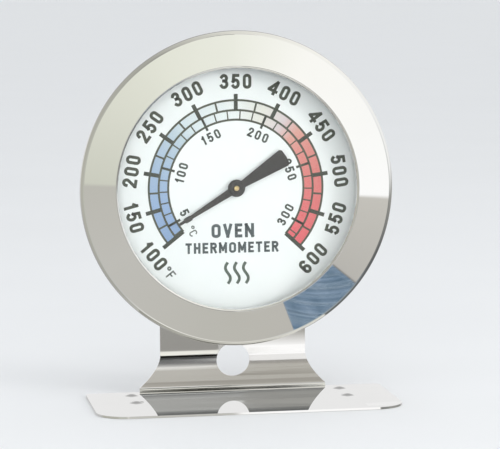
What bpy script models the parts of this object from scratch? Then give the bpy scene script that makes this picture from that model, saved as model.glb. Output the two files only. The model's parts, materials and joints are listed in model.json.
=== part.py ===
"""Oven thermometer: a round bimetal dial movement in a crimped steel case on a bent sheet stand.

Units are metres, +Z is up, +X is to the right and -Y is towards the viewer of the dial.
The origin is the bottom centre of the whole object. Turned and flat pieces of the case are built in
the dial's own frame (x right, y up, z out of the dial's face) and hang on an empty at its centre.
"""

import math

import bmesh
import bpy
from mathutils import Vector

# ---- driving dimensions -------------------------------------------------------------------------
SHEET = 0.0005              # thickness of the stand's and the hook's steel strip
GAP = 0.0003                # clearance between pieces that touch
BASE_WIDTH = 0.0730
BASE_DEPTH = 0.0340
BASE_CORNER = 0.0072        # radius of the base's front corners
EAR_CORNER = 0.0016         # radius of the base's back corners
NECK_WIDTH = 0.0360
FOOT_WIDTH = 0.0462         # width of the neck where it meets the base
FLARE_HEIGHT = 0.0080       # height over which the neck widens to its foot
NECK_BEND_HEIGHT = 0.0085   # height of the shallow bend that crosses the neck's hole
NECK_BEND_ANGLE = 6.0       # degrees by which the neck kicks back below that bend
CREASE_RADIUS = 0.0009      # bend between neck and base, at mid sheet
NECK_HOLE_RADIUS = 0.0041
NECK_HOLE_HEIGHT = 0.0077
DIAL_HEIGHT = 0.0507        # centre of the dial above the resting face
UPRIGHT_ABOVE_DIAL = 0.0210  # the upright's top edge above the dial's centre

BEZEL_RADIUS = 0.0380
BEZEL_LIP_RADIUS = 0.0290
BEZEL_FRONT = 0.00455       # height of the bezel's inner edge above the dial's face
BEZEL_SLOPE = 0.1056        # fall of the bezel's cone for each unit outwards
BEZEL_SHEET = 0.0005
BEZEL_ROLL = 0.0011         # radius of the rolled outer edge
BEZEL_BACK = 0.0013         # height of the rolled edge's back above the dial's face
BEZEL_LIP_BACK = 0.0034     # height of the curled inner lip's end, just above the glass
BEZEL_CURL_END = 0.0360     # radius at which the rolled edge ends, behind the cup's flange

CUP_WALL = 0.0004
CUP_RADIUS = 0.0354         # outside of the wall around the dial
CUP_FLANGE_RADIUS = 0.0369
CUP_WELL_RADIUS = 0.0314    # outside of the narrower well around the movement
CUP_DEPTH = 0.0064          # outside of the case's back behind the dial's face
CUP_FLANGE_FRONT = 0.0026   # height of the flange above the dial's face
CUP_BEND = 0.0006
VENT_RADIUS = 0.0022
VENT_CIRCLE = 0.0250
VENT_ANGLES = (-30.0, 0.0, 30.0, 150.0, 180.0, 210.0)

DIAL_RADIUS = 0.0346
DIAL_SHEET = 0.0004
GLASS_THICKNESS = 0.0015
GLASS_BACK = 0.0016         # back of the glass above the dial's face
GLASS_EDGE = 0.0002         # radius of the glass's ground edge
CUSHION_INNER = 0.0310
CUSHION_OUTER = 0.0340
CUSHION_BACK = 0.0032
CUSHION_FRONT = 0.0034
SPACER_INNER = 0.0338
DIAL_HOLE = 0.0022          # radius of the dial's hole for the pointer's hub

ARBOR_RADIUS = 0.0006
ARBOR_FRONT = 0.0013        # heights of the arbor's ends above the dial's face
ARBOR_BACK = -0.0056
RUNNING_GAP = 0.0001
BUSH_FLANGE = 0.0019
BUSH_NECK = 0.0013
FRONT_BUSH_HEIGHTS = (-0.0023, -0.0009, -0.0006)  # back, flange's back and front
REAR_BUSH_RADIUS = 0.0022
REAR_BUSH_HEIGHTS = (-0.0057, -0.0050)
WASHER_RADIUS = 0.0014
WASHER_HEIGHTS = (-0.0049, -0.0047)
COIL_INNER_RADIUS = 0.0028
COIL_OUTER_RADIUS = 0.0099
COIL_TURNS = 4.25
COIL_STRIP = 0.0004
COIL_FRONT = -0.0026        # front edge of the coil, behind the dial's face
COIL_BACK = -0.0046
POST_RADIUS = 0.0006
POST_FRONT = -0.0024

BRIDGE_WIDTH = 0.0080
BRIDGE_FOOT = 0.0050
BRIDGE_LEG = 0.0022
BRIDGE_BEND = 0.0010
BRIDGE_CORNER = 0.0010
RIVET_TO_DECK = 0.0032      # from a rivet's middle to the deck's end

POINTER_ANGLE = -121.5      # resting reading, degrees clockwise from the top of the dial
POINTER_TIP = 0.0164
POINTER_TIP_HALF = 0.0003   # half widths of the blade
POINTER_WAIST_HALF = 0.0009
POINTER_TAIL_HALF = 0.0022
POINTER_TAIL = 0.0143
POINTER_TAIL_BEVEL = (0.0004, 0.0003)
POINTER_DISC = 0.0021       # round middle of the blade, under the hub
POINTER_LIFT = 0.00055      # underside of the blade above the dial's face
POINTER_SHEET = 0.00025
HUB_RADIUS = 0.0018
HUB_TUBE = 0.00095
HUB_FRONT = 0.0012          # heights of the hub's ends above the dial's face
HUB_BACK = 0.0003

RIVET_OFFSET = 0.0160       # rivets above and below the dial's centre
RIVET_RADIUS = 0.0013
RIVET_HOLE_RADIUS = 0.0016
RIVET_HEAD = 0.0024
RIVET_DOME = 0.0009
RIVET_EDGE = 0.0007

TOP_CORNER = 0.0040         # corners at the top of the upright
FLARE_POWER = 1.7           # how late the neck's flare opens

HOOK_WIDTH = 0.0100
HOOK_RISE = 0.0250          # start of the hook's curve above the dial's centre
HOOK_RADIUS = 0.0045        # at mid sheet
HOOK_DROP = 0.0120          # straight length of the hook's free leg
HOOK_TIP = 0.0030
HOOK_CORNER = 0.0030
HOOK_BELOW_RIVET = 0.0040

# ---- derived places -----------------------------------------------------------------------------
UPRIGHT_DEPTH = CUP_DEPTH + GAP + SHEET / 2             # mid sheet, behind the dial's face
HOOK_FOOT_DEPTH = UPRIGHT_DEPTH + SHEET + GAP
NECK_KICK = math.tan(math.radians(NECK_BEND_ANGLE)) * NECK_BEND_HEIGHT
BASE_BACK = UPRIGHT_DEPTH + NECK_KICK
HOOK_FLARE = math.radians(30.0)
HOOK_BEND = 2 * CREASE_RADIUS
HOOK_KICK = HOOK_BEND * (1.0 - math.cos(HOOK_FLARE)) + HOOK_TIP * math.sin(HOOK_FLARE)
OBJECT_BACK = HOOK_FOOT_DEPTH + 2 * HOOK_RADIUS + HOOK_KICK + SHEET / 2 * math.cos(HOOK_FLARE)
OBJECT_FRONT = BASE_BACK + SHEET / 2 - BASE_DEPTH
DIAL_Y = -(OBJECT_BACK + OBJECT_FRONT) / 2
ARC_STEP = math.radians(31.0)             # largest step along a profile's rounded corners
BEND_STEP = math.radians(16.0)            # largest step along a bend in a strip
ROUND_STEPS = 60
SMALL_STEPS = 24
NECK_HOLE_STEPS = 32
DISC_STEPS = 10             # along each side of the blade's round middle
FLARE_STEPS = 7
MERGE = 0.000001            # points closer than this are one


# ---- helpers ------------------------------------------------------------------------------------
def clear_scene():
    """Remove every object, so that the file holds nothing but the thermometer."""
    for old in list(bpy.data.objects):
        bpy.data.objects.remove(old, do_unlink=True)


def new_collection(name):
    collection = bpy.data.collections.new(name)
    bpy.context.scene.collection.children.link(collection)
    return collection


def new_material(name, color, roughness, metallic):
    material = bpy.data.materials.new(name)
    material.use_nodes = True
    shader = material.node_tree.nodes["Principled BSDF"]
    shader.inputs["Base Color"].default_value = (*color, 1.0)
    shader.inputs["Roughness"].default_value = roughness
    shader.inputs["Metallic"].default_value = metallic
    return material


def link_part(name, mesh, material, parent):
    part = bpy.data.objects.new(name, mesh)
    parts.objects.link(part)
    part.parent = parent
    mesh.materials.clear()
    mesh.materials.append(material)
    return part


def circle(radius, centre=(0.0, 0.0), steps=SMALL_STEPS):
    turns = [2 * math.pi * k / steps for k in range(steps)]
    return [(centre[0] + radius * math.cos(a), centre[1] + radius * math.sin(a)) for a in turns]


def rounded(corners, closed=True):
    """A polyline through corners (x, y) or (x, y, radius), with an arc at each corner with a radius."""
    points = []
    count = len(corners)
    for i, corner in enumerate(corners):
        point = Vector(corner[:2])
        if len(corner) == 2 or (not closed and i in (0, count - 1)):
            points.append(point)
            continue
        radius = corner[2]
        back = (Vector(corners[i - 1][:2]) - point).normalized()
        ahead = (Vector(corners[(i + 1) % count][:2]) - point).normalized()
        half = back.angle(ahead) / 2
        centre = point + (back + ahead).normalized() * radius / math.sin(half)
        start = point + back * radius / math.tan(half) - centre
        end = point + ahead * radius / math.tan(half) - centre
        first = math.atan2(start.y, start.x)
        sweep = math.remainder(math.atan2(end.y, end.x) - first, 2 * math.pi)
        steps = max(2, math.ceil(abs(sweep) / ARC_STEP))
        for k in range(steps + 1):
            angle = first + sweep * k / steps
            points.append(centre + radius * Vector((math.cos(angle), math.sin(angle))))
    return points


def turned(name, profile, material, parent, steps=ROUND_STEPS, closed=True):
    """Turn a profile of (radius, height) points about the dial's axis with a Screw modifier."""
    verts = [(radius, 0.0, height) for radius, height in profile]
    edges = [(i, i + 1) for i in range(len(verts) - 1)]
    if closed:
        edges.append((len(verts) - 1, 0))
    mesh = bpy.data.meshes.new(name)
    mesh.from_pydata(verts, edges, [])
    part = link_part(name, mesh, material, parent)
    screw = part.modifiers.new("turn", "SCREW")
    screw.axis = "Z"
    screw.angle = 2 * math.pi
    screw.steps = steps
    screw.render_steps = steps
    screw.use_merge_vertices = True
    screw.merge_threshold = 10 * MERGE
    screw.use_smooth_shade = True
    return part


def outline_mesh(name, loops, half_thickness):
    """A flat mesh, or a plate when it has a thickness, from closed outlines; inner loops are holes."""
    curve = bpy.data.curves.new(name, "CURVE")
    curve.dimensions = "2D"
    curve.fill_mode = "BOTH" if half_thickness else "FRONT"
    curve.extrude = half_thickness
    for loop in loops:
        spline = curve.splines.new("POLY")
        spline.points.add(len(loop) - 1)
        for point, (x, y) in zip(spline.points, loop):
            point.co = (x, y, 0.0, 1.0)
        spline.use_cyclic_u = True
    guide = bpy.data.objects.new(name + "_outline", curve)
    parts.objects.link(guide)
    depsgraph = bpy.context.evaluated_depsgraph_get()
    mesh = bpy.data.meshes.new_from_object(guide.evaluated_get(depsgraph))
    bpy.data.objects.remove(guide, do_unlink=True)
    bpy.data.curves.remove(curve)
    mesh.name = name
    work = bmesh.new()
    work.from_mesh(mesh)
    bmesh.ops.remove_doubles(work, verts=work.verts, dist=MERGE)
    if half_thickness:
        bmesh.ops.recalc_face_normals(work, faces=work.faces)
    work.to_mesh(mesh)
    work.free()
    return mesh


def flat_plate(name, loops, back, front, material, parent):
    """A plate between two heights along its frame's z axis."""
    mesh = outline_mesh(name, loops, (front - back) / 2)
    part = link_part(name, mesh, material, parent)
    part.location.z = (front + back) / 2
    return part


def path_stations(segments):
    """Distances along a bent strip where its flat blank gets a cross edge."""
    stations = []
    run = 0.0
    for kind, size, turn in segments:
        if kind == "line":
            run += size
            stations.append(run)
            continue
        length = size * abs(turn)
        steps = max(1, math.ceil(abs(turn) / BEND_STEP))
        stations += [run + length * (k + 1) / steps for k in range(steps)]
        run += length
    return stations


def leftward(heading):
    return Vector((-math.sin(heading), math.cos(heading)))


def path_point(segments, start, heading, distance):
    """The (depth, height) point at a distance along the strip, past its lines and bends."""
    point = Vector(start)
    for kind, size, turn in segments:
        length = size if kind == "line" else size * abs(turn)
        run = min(distance, length)
        if kind == "line":
            point = point + run * Vector((math.cos(heading), math.sin(heading)))
        else:
            side = math.copysign(size, turn)
            centre = point + side * leftward(heading)
            heading += run / side
            point = centre - side * leftward(heading)
        distance -= run
        if distance <= 0.0:
            break
    return point


def bent_strip(name, loops, segments, start, heading, material, parent):
    """A sheet-metal piece: a flat blank in (x, distance along the strip), bent, then given thickness."""
    mesh = outline_mesh(name, loops, 0.0)
    work = bmesh.new()
    work.from_mesh(mesh)
    for station in path_stations(segments)[:-1]:
        geometry = work.verts[:] + work.edges[:] + work.faces[:]
        bmesh.ops.bisect_plane(work, geom=geometry, dist=MERGE, plane_co=(0.0, station, 0.0),
                               plane_no=(0.0, 1.0, 0.0))
    for vert in work.verts:
        depth, height = path_point(segments, start, heading, vert.co.y)
        vert.co = (vert.co.x, depth, height)
    work.to_mesh(mesh)
    work.free()
    strip = link_part(name, mesh, material, parent)
    solidify = strip.modifiers.new("sheet", "SOLIDIFY")
    solidify.thickness = SHEET
    solidify.offset = 0.0
    solidify.use_even_offset = True
    return strip


def cut_holes(part, centres, radius, axis_height, length):
    """Drill round holes along the part's local z axis with one hidden cutter."""
    mesh = bpy.data.meshes.new(part.name + "_cutter")
    work = bmesh.new()
    for x, y in centres:
        drilled = bmesh.ops.create_cone(work, cap_ends=True, segments=SMALL_STEPS, radius1=radius,
                                        radius2=radius, depth=length)
        bmesh.ops.translate(work, verts=drilled["verts"], vec=(x, y, axis_height))
    work.to_mesh(mesh)
    work.free()
    cutter = bpy.data.objects.new(mesh.name, mesh)
    cutters.objects.link(cutter)
    cutter.parent = part.parent
    cutter.hide_render = True
    cutter.display_type = "WIRE"
    cut = part.modifiers.new("holes", "BOOLEAN")
    cut.operation = "DIFFERENCE"
    cut.object = cutter


# ---- case ---------------------------------------------------------------------------------------
def make_case_cup(material):
    """Drawn cup: a flange, a wall around the dial, a shoulder under it and a well for the movement."""
    inside = CUP_RADIUS - CUP_WALL
    well_inside = CUP_WELL_RADIUS - CUP_WALL
    shoulder = -DIAL_SHEET - GAP
    profile = rounded([
        (0.0, CUP_WALL - CUP_DEPTH),
        (well_inside, CUP_WALL - CUP_DEPTH, CUP_BEND),
        (well_inside, shoulder, CUP_BEND / 2),
        (inside, shoulder),
        (inside, CUP_FLANGE_FRONT, CUP_BEND / 2),
        (CUP_FLANGE_RADIUS, CUP_FLANGE_FRONT),
        (CUP_FLANGE_RADIUS, CUP_FLANGE_FRONT - CUP_WALL),
        (CUP_RADIUS, CUP_FLANGE_FRONT - CUP_WALL, CUP_BEND / 2),
        (CUP_RADIUS, shoulder - CUP_WALL, CUP_BEND / 2),
        (CUP_WELL_RADIUS, shoulder - CUP_WALL, CUP_BEND / 2),
        (CUP_WELL_RADIUS, -CUP_DEPTH, 2 * CUP_BEND),
        (0.0, -CUP_DEPTH),
    ], closed=False)
    cup = turned("case_cup", profile, material, dial_frame, closed=False)
    vents = [(VENT_CIRCLE * math.cos(math.radians(a)), VENT_CIRCLE * math.sin(math.radians(a)))
             for a in VENT_ANGLES]
    rivet_holes = [(0.0, RIVET_OFFSET), (0.0, -RIVET_OFFSET)]
    cut_holes(cup, vents, VENT_RADIUS, -CUP_DEPTH, 10 * CUP_WALL)
    cut_holes(cup, rivet_holes, RIVET_HOLE_RADIUS, -CUP_DEPTH, 10 * CUP_WALL)


def make_bezel_ring(material):
    """Polished ring: a curled inner lip, a shallow cone and an outer edge rolled behind the flange."""
    outer_height = BEZEL_FRONT - BEZEL_SLOPE * (BEZEL_RADIUS - BEZEL_LIP_RADIUS)
    inner_wall = BEZEL_RADIUS - BEZEL_SHEET
    profile = rounded([
        (BEZEL_LIP_RADIUS, BEZEL_LIP_BACK),
        (BEZEL_LIP_RADIUS, BEZEL_FRONT, BEZEL_SHEET),
        (BEZEL_RADIUS, outer_height, BEZEL_ROLL),
        (BEZEL_RADIUS, BEZEL_BACK, BEZEL_ROLL),
        (BEZEL_CURL_END, BEZEL_BACK),
        (BEZEL_CURL_END, BEZEL_BACK + BEZEL_SHEET),
        (inner_wall, BEZEL_BACK + BEZEL_SHEET, BEZEL_ROLL - BEZEL_SHEET),
        (inner_wall, outer_height - BEZEL_SHEET, BEZEL_ROLL - BEZEL_SHEET),
        (BEZEL_LIP_RADIUS + BEZEL_SHEET, BEZEL_FRONT - BEZEL_SHEET),
        (BEZEL_LIP_RADIUS + BEZEL_SHEET, BEZEL_LIP_BACK),
    ])
    turned("bezel_ring", profile, material, dial_frame)


def make_ring(name, inner, outer, back, front, material, parent, steps=ROUND_STEPS):
    """A plain ring; its profile runs down the outer side and up the inner one."""
    profile = [(inner, back), (inner, front), (outer, front), (outer, back)]
    turned(name, profile, material, parent, steps)


def make_glass_lens(material):
    front = GLASS_BACK + GLASS_THICKNESS
    profile = rounded([(0.0, front), (DIAL_RADIUS, front, GLASS_EDGE), (DIAL_RADIUS, GLASS_BACK),
                       (0.0, GLASS_BACK)], closed=False)
    turned("glass_lens", profile, material, dial_frame, closed=False)


# ---- movement -----------------------------------------------------------------------------------
def make_movement_bridge(material):
    """Hat-shaped strip: two riveted feet on the case's back and a deck that holds the front bush."""
    deck = 2 * (RIVET_OFFSET - RIVET_TO_DECK)
    quarter = math.pi / 2
    segments = [("line", BRIDGE_FOOT, 0.0), ("bend", BRIDGE_BEND, quarter), ("line", BRIDGE_LEG, 0.0),
                ("bend", BRIDGE_BEND, -quarter), ("line", deck - 2 * BRIDGE_BEND, 0.0),
                ("bend", BRIDGE_BEND, -quarter), ("line", BRIDGE_LEG, 0.0),
                ("bend", BRIDGE_BEND, quarter), ("line", BRIDGE_FOOT, 0.0)]
    length = path_stations(segments)[-1]
    half = BRIDGE_WIDTH / 2
    blank = rounded([(-half, 0.0, BRIDGE_CORNER), (half, 0.0, BRIDGE_CORNER),
                     (half, length, BRIDGE_CORNER), (-half, length, BRIDGE_CORNER)])
    end = deck / 2 + BRIDGE_BEND + BRIDGE_FOOT
    hole_at = end - RIVET_OFFSET
    holes = [circle(RIVET_HOLE_RADIUS, (0.0, hole_at)),
             circle(RIVET_HOLE_RADIUS, (0.0, length / 2)),
             circle(RIVET_HOLE_RADIUS, (0.0, length - hole_at))]
    start = (CUP_DEPTH - CUP_WALL - GAP - SHEET / 2, -end)
    bent_strip("movement_bridge", [blank] + holes, segments, start, quarter, material, dial_centre)


def make_bushes(material):
    bore = ARBOR_RADIUS + RUNNING_GAP
    back, flange_back, front = FRONT_BUSH_HEIGHTS
    front_profile = [(bore, back), (bore, front), (BUSH_FLANGE, front), (BUSH_FLANGE, flange_back),
                     (BUSH_NECK, flange_back), (BUSH_NECK, back)]
    turned("front_bush", front_profile, material, dial_frame, SMALL_STEPS)
    make_ring("rear_bush", bore, REAR_BUSH_RADIUS, *REAR_BUSH_HEIGHTS, material, dial_frame,
              SMALL_STEPS)


def make_coil_anchor_post(material):
    """Pin under the bridge's deck that holds the coil's outer end."""
    profile = [(0.0, POST_FRONT), (POST_RADIUS, POST_FRONT), (POST_RADIUS, COIL_BACK),
               (0.0, COIL_BACK)]
    post = turned("coil_anchor_post", profile, material, dial_frame, SMALL_STEPS, closed=False)
    post.location.y = -(COIL_OUTER_RADIUS + COIL_STRIP / 2 + GAP + POST_RADIUS)


def make_bimetal_coil(material):
    """Flat spiral strip from the collet on the arbor out to the anchor post."""
    steps = round(COIL_TURNS * SMALL_STEPS)
    end_angle = -math.pi / 2
    outline = []
    for side in (1, -1):
        for k in range(steps + 1):
            share = (k if side == 1 else steps - k) / steps
            angle = end_angle - (1.0 - share) * COIL_TURNS * 2 * math.pi
            radius = COIL_INNER_RADIUS + share * (COIL_OUTER_RADIUS - COIL_INNER_RADIUS)
            radius += side * COIL_STRIP / 2
            outline.append((radius * math.cos(angle), radius * math.sin(angle)))
    flat_plate("bimetal_coil", [outline], COIL_BACK, COIL_FRONT, material, dial_frame)


def make_arbor(steel, brass):
    """The turning arbor with the collet that grips the coil and a thrust washer."""
    profile = [(0.0, ARBOR_FRONT), (ARBOR_RADIUS, ARBOR_FRONT), (ARBOR_RADIUS, ARBOR_BACK),
               (0.0, ARBOR_BACK)]
    turned("pointer_arbor", profile, brass, pointer_axis, SMALL_STEPS, closed=False)
    grip = ARBOR_RADIUS + RUNNING_GAP
    collet_radius = COIL_INNER_RADIUS - COIL_STRIP / 2 - GAP
    make_ring("coil_collet", grip, collet_radius, COIL_BACK, COIL_FRONT, brass, pointer_axis,
              SMALL_STEPS)
    make_ring("arbor_washer", grip, WASHER_RADIUS, *WASHER_HEIGHTS, steel, pointer_axis,
              SMALL_STEPS)


def make_pointer(material):
    """The blade with its thin tip and wide tail, and the hub that holds it on the arbor."""
    grip = ARBOR_RADIUS + RUNNING_GAP
    blade_top = POINTER_LIFT + POINTER_SHEET
    under_cap = blade_top + RUNNING_GAP
    hub_profile = [(grip, HUB_BACK), (grip, HUB_FRONT), (HUB_RADIUS, HUB_FRONT),
                   (HUB_RADIUS, under_cap), (HUB_TUBE, under_cap), (HUB_TUBE, HUB_BACK)]
    turned("pointer_hub", hub_profile, material, pointer_axis, SMALL_STEPS)
    wrap = math.asin(POINTER_WAIST_HALF / POINTER_DISC)
    side_angles = [wrap + (math.pi - 2 * wrap) * k / DISC_STEPS for k in range(DISC_STEPS + 1)]
    across, along = POINTER_TAIL_BEVEL
    right = [(POINTER_DISC * math.sin(a), POINTER_DISC * math.cos(a)) for a in side_angles]
    right = ([(POINTER_TIP_HALF, POINTER_TIP)] + right
             + [(POINTER_TAIL_HALF, along - POINTER_TAIL), (POINTER_TAIL_HALF - across, -POINTER_TAIL)])
    left = [(-x, y) for x, y in reversed(right)]
    hole = circle(HUB_TUBE + RUNNING_GAP)
    blade = flat_plate("pointer", [right + left, hole], POINTER_LIFT, blade_top, material,
                       pointer_axis)
    blade.rotation_euler.z = -math.radians(POINTER_ANGLE)


# ---- stand --------------------------------------------------------------------------------------
def make_stand_bracket(material):
    """One strip: an upright behind the case, a flared neck with a hole, a crease and the base."""
    kick = math.radians(NECK_BEND_ANGLE)
    crease = math.pi / 2 + kick
    top = DIAL_HEIGHT + UPRIGHT_ABOVE_DIAL
    mid_base = SHEET / 2
    kink_setback = CREASE_RADIUS * math.tan(kick / 2)
    setback = CREASE_RADIUS * math.tan(crease / 2)
    straight = top - mid_base - NECK_BEND_HEIGHT - kink_setback
    kicked = NECK_BEND_HEIGHT / math.cos(kick) - kink_setback - setback
    base = BASE_DEPTH - SHEET / 2 - setback
    segments = [("line", straight, 0.0), ("bend", CREASE_RADIUS, kick), ("line", kicked, 0.0),
                ("bend", CREASE_RADIUS, -crease), ("line", base, 0.0)]
    stations = path_stations(segments)
    length = stations[-1]
    ear_back = length - base
    foot_start = ear_back - CREASE_RADIUS * crease
    half_neck = NECK_WIDTH / 2
    half_foot = FOOT_WIDTH / 2
    half_base = BASE_WIDTH / 2
    flare = []
    for k in range(1, FLARE_STEPS + 1):
        share = k / FLARE_STEPS
        reach = half_neck + (half_foot - half_neck) * share ** FLARE_POWER
        flare.append((reach, foot_start - FLARE_HEIGHT * (1.0 - share)))
    right = ([(half_neck, 0.0, TOP_CORNER), (half_neck, foot_start - FLARE_HEIGHT)] + flare
             + [(half_foot, ear_back), (half_base, ear_back, EAR_CORNER),
                (half_base, length, BASE_CORNER)])
    left = [(-corner[0], *corner[1:]) for corner in reversed(right)]
    blank = rounded(right + left)
    top_to_hole = top - NECK_HOLE_HEIGHT
    holes = [circle(NECK_HOLE_RADIUS, (0.0, top_to_hole), NECK_HOLE_STEPS),
             circle(RIVET_HOLE_RADIUS, (0.0, UPRIGHT_ABOVE_DIAL - RIVET_OFFSET)),
             circle(RIVET_HOLE_RADIUS, (0.0, UPRIGHT_ABOVE_DIAL + RIVET_OFFSET))]
    start = (DIAL_Y + UPRIGHT_DEPTH, top)
    bent_strip("stand_bracket", [blank] + holes, segments, start, -math.pi / 2, material, None)


def make_hanging_hook(material):
    """Narrow strip riveted behind the upright, curled over to hang on the wire of a rack."""
    foot_bottom = RIVET_OFFSET + HOOK_BELOW_RIVET
    segments = [("line", foot_bottom + HOOK_RISE, 0.0), ("bend", HOOK_RADIUS, -math.pi),
                ("line", HOOK_DROP, 0.0), ("bend", HOOK_BEND, HOOK_FLARE),
                ("line", HOOK_TIP, 0.0)]
    length = path_stations(segments)[-1]
    half = HOOK_WIDTH / 2
    blank = rounded([(-half, 0.0, HOOK_CORNER), (half, 0.0, HOOK_CORNER),
                     (half, length, HOOK_CORNER), (-half, length, HOOK_CORNER)])
    holes = [circle(RIVET_HOLE_RADIUS, (0.0, foot_bottom - RIVET_OFFSET)),
             circle(RIVET_HOLE_RADIUS, (0.0, foot_bottom + RIVET_OFFSET))]
    start = (HOOK_FOOT_DEPTH, -foot_bottom)
    bent_strip("hanging_hook", [blank] + holes, segments, start, math.pi / 2, material, dial_centre)


def make_rivets(material):
    """Two rivets through the bridge's feet, the case, the upright and the hook's foot."""
    inner_seat = -(CUP_DEPTH - CUP_WALL - GAP - SHEET) + GAP
    outer_seat = -(HOOK_FOOT_DEPTH + SHEET / 2) - GAP
    profile = rounded([
        (0.0, inner_seat + RIVET_DOME), (RIVET_HEAD, inner_seat + RIVET_DOME, RIVET_EDGE),
        (RIVET_HEAD, inner_seat),
        (RIVET_RADIUS, inner_seat), (RIVET_RADIUS, outer_seat), (RIVET_HEAD, outer_seat),
        (RIVET_HEAD, outer_seat - RIVET_DOME, RIVET_EDGE), (0.0, outer_seat - RIVET_DOME),
    ], closed=False)
    for place, side in (("upper", 1), ("lower", -1)):
        rivet = turned("rivet_" + place, profile, material, dial_frame, SMALL_STEPS, closed=False)
        rivet.location.y = side * RIVET_OFFSET


# ---- build --------------------------------------------------------------------------------------
clear_scene()
parts = new_collection("oven_thermometer")
cutters = new_collection("cutters")

dial_centre = bpy.data.objects.new("dial_centre", None)
parts.objects.link(dial_centre)
dial_centre.location = (0.0, DIAL_Y, DIAL_HEIGHT)

dial_frame = bpy.data.objects.new("dial_frame", None)
parts.objects.link(dial_frame)
dial_frame.parent = dial_centre
dial_frame.rotation_euler.x = math.pi / 2

pointer_axis = bpy.data.objects.new("pointer_axis", None)
parts.objects.link(pointer_axis)
pointer_axis.parent = dial_frame

polished = new_material("polished_steel", (0.78, 0.77, 0.74), 0.08, 1.0)
plain_steel = new_material("plain_steel", (0.62, 0.62, 0.61), 0.35, 1.0)
brass = new_material("brass", (0.80, 0.62, 0.30), 0.30, 1.0)
bimetal = new_material("bimetal", (0.55, 0.52, 0.47), 0.40, 1.0)
enamel = new_material("dial_enamel", (0.90, 0.92, 0.93), 0.45, 0.0)
charcoal = new_material("pointer_black", (0.045, 0.040, 0.040), 0.50, 0.0)
clear_glass = new_material("clear_glass", (0.93, 0.97, 0.95), 0.02, 0.0)
fibre = new_material("fibre_cushion", (0.75, 0.73, 0.68), 0.90, 0.0)

make_case_cup(plain_steel)
make_bezel_ring(polished)
make_glass_lens(clear_glass)
make_ring("glass_cushion", CUSHION_INNER, CUSHION_OUTER, CUSHION_BACK, CUSHION_FRONT, fibre,
          dial_frame)
make_ring("spacer_ring", SPACER_INNER, DIAL_RADIUS, GAP, GLASS_BACK - GAP, plain_steel, dial_frame)
make_ring("dial_plate", DIAL_HOLE, DIAL_RADIUS, -DIAL_SHEET, 0.0, enamel, dial_frame)
make_movement_bridge(plain_steel)
make_bushes(brass)
make_coil_anchor_post(brass)
make_bimetal_coil(bimetal)
make_arbor(plain_steel, brass)
make_pointer(charcoal)
make_stand_bracket(polished)
make_hanging_hook(polished)
make_rivets(plain_steel)
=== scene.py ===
"""Looks of the oven thermometer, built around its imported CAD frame.

Units are metres, +Z is up, +X is to the right and -Y is towards the viewer of the dial. Pieces of the
dial and the case are built in the dial's own frame (x right, y up, z out of its face), and every place
on them is counted from the joint of the pointer, which is the centre of the dial's face.
"""

import json
import math

import bmesh
import bpy
from mathutils import Matrix, Vector


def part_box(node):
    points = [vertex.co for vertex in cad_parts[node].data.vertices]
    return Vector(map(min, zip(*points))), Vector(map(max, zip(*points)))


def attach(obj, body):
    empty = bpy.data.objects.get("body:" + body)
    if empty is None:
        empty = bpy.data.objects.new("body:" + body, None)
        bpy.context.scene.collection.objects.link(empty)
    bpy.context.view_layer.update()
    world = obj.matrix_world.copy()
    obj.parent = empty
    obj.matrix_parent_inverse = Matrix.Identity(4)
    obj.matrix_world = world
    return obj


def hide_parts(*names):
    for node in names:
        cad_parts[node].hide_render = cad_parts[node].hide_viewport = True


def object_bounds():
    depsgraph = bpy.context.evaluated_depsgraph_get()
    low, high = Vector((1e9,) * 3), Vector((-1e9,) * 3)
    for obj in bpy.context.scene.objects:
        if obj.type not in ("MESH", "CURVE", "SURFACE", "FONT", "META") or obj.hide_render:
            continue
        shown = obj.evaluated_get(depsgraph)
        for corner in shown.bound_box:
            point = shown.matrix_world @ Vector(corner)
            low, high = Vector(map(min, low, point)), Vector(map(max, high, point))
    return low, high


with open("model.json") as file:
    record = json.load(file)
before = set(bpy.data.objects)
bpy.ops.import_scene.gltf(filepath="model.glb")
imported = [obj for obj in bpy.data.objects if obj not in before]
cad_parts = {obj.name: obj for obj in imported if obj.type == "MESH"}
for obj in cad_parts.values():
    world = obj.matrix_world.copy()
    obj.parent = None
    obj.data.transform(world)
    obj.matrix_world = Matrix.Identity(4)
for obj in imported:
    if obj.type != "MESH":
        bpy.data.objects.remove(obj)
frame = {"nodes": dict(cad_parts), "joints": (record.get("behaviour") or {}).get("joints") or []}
cad_low, cad_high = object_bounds()


# ---- places read from the frame ----
DIAL = Vector(frame["joints"][0]["pos_m"])
DIAL_MATRIX = Matrix.Translation(DIAL) @ Matrix.Rotation(math.pi / 2, 4, "X")


def half_width(node):
    low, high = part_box(node)
    return (high.x - low.x) / 2


def heights(node):
    """Back and front of a node, as heights above the dial's face."""
    low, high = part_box(node)
    return DIAL.y - high.y, DIAL.y - low.y


BEZEL_RADIUS = half_width("bezel_ring")
BEZEL_BACK, BEZEL_FRONT = heights("bezel_ring")
GLASS_RADIUS = half_width("glass_lens")
GLASS_BACK, GLASS_FRONT = heights("glass_lens")
DIAL_RADIUS = half_width("dial_plate")
DIAL_BACK = heights("dial_plate")[0]
CASE_BACK, FLANGE_FRONT = heights("case_cup")
FLANGE_RADIUS = half_width("case_cup")
BLADE_BACK, BLADE_FRONT = heights("pointer")
HUB_BACK, HUB_FRONT = heights("pointer_hub")
HUB_RADIUS = half_width("pointer_hub")
ARBOR_BACK, ARBOR_FRONT = heights("pointer_arbor")
ARBOR_RADIUS = half_width("pointer_arbor")
STAND_LOW, STAND_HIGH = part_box("stand_bracket")
HOOK_LOW, HOOK_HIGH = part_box("hanging_hook")
RIVET_BACK, RIVET_FRONT = heights("rivet_upper")
RIVET_HEAD = half_width("rivet_upper")
RIVET_OFFSET = (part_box("rivet_upper")[0].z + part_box("rivet_upper")[1].z) / 2 - DIAL.z

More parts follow.
